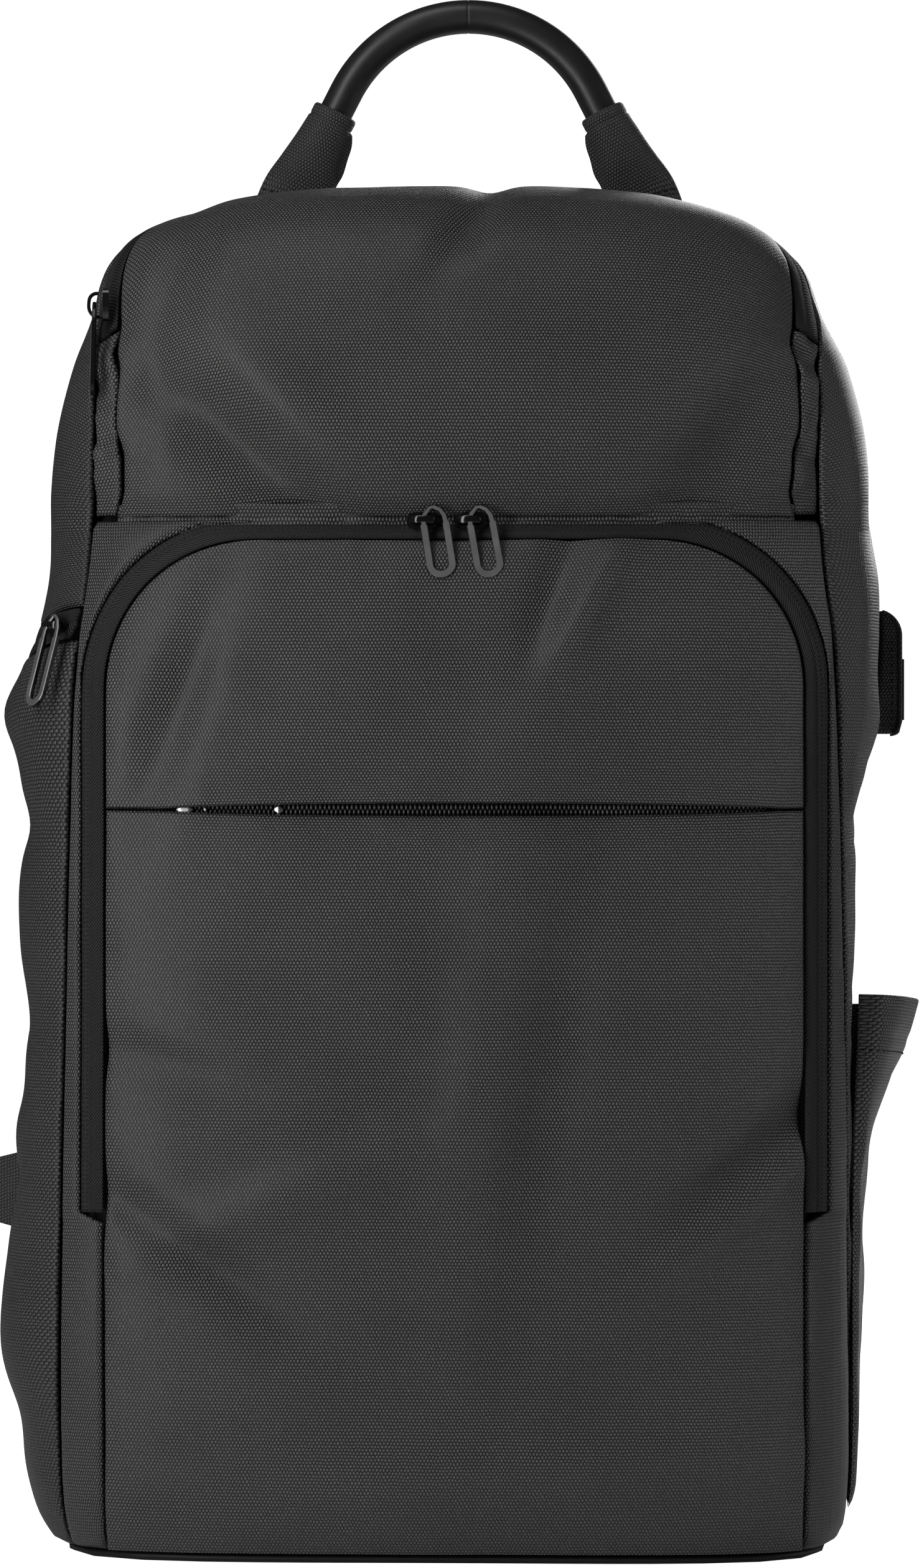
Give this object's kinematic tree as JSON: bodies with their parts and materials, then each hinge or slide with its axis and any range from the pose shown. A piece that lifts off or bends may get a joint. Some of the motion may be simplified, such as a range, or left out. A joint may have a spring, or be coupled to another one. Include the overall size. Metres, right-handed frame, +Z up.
{
  "type": "laptop backpack",
  "caption": "Soft boxy laptop backpack with arched front pocket, slit pocket, top zip, side pockets, round metal tube handle and padded shoulder straps.",
  "frame": {"origin": "middle of the flat base, on the floor", "axes": "+Z up, -Y the way the front faces, +X to the right as seen from the front"},
  "size_m": [0.3457, 0.2273, 0.5678],
  "materials": {
    "coated_cloth": "matte coated basket weave",
    "padded_back": "padded mesh",
    "strap_cloth": "padded coated weave",
    "zip_tape": "herringbone tape",
    "zip_coil": "black coil",
    "zip_steel": "plain steel",
    "slider_metal": "gloss black",
    "pull_metal": "satin gunmetal",
    "handle_metal": "matte black",
    "webbing": "ribbed webbing",
    "buckle_plastic": "matte black",
    "outlet_plastic": "matte black"
  },
  "bodies": {
    "root": {"back_panel": "padded_back", "base_panel": "coated_cloth", "front_panel_upper": "coated_cloth", "front_panel_lower": "coated_cloth", "arch_zip_tape": "zip_tape", "front_gusset_left": "coated_cloth", "front_gusset_right": "coated_cloth", "crown_panel": "coated_cloth", "crown_zip_tape": "zip_tape", "crown_strip_left": "coated_cloth", "crown_strip_right": "coated_cloth", "top_gusset": "coated_cloth", "side_panel_right": "coated_cloth", "side_panel_left": "coated_cloth", "side_pocket_left": "coated_cloth", "side_zip_tape": "zip_tape", "slit_zip": "zip_coil", "slit_slider": "zip_steel", "slit_slider_pull": "pull_metal", "bottle_pocket": "coated_cloth", "usb_tab": "outlet_plastic", "usb_plate": "outlet_plastic", "handle_bar": "handle_metal", "handle_sleeve_left": "coated_cloth", "handle_sleeve_right": "coated_cloth", "front_zip_a_slider": "slider_metal", "front_zip_a_pull": "pull_metal", "front_zip_b_slider": "slider_metal", "front_zip_b_pull": "pull_metal", "crown_zip_slider": "slider_metal", "crown_zip_pull": "pull_metal", "side_zip_slider": "slider_metal", "side_zip_pull": "pull_metal", "shoulder_strap_left": "strap_cloth", "shoulder_strap_right": "strap_cloth", "ladder_lock_left": "buckle_plastic", "ladder_lock_right": "buckle_plastic", "anchor_tab_left": "coated_cloth", "anchor_tab_right": "coated_cloth", "strap_webbing_left": "webbing", "strap_webbing_right": "webbing"}
  },
  "joints": []
}
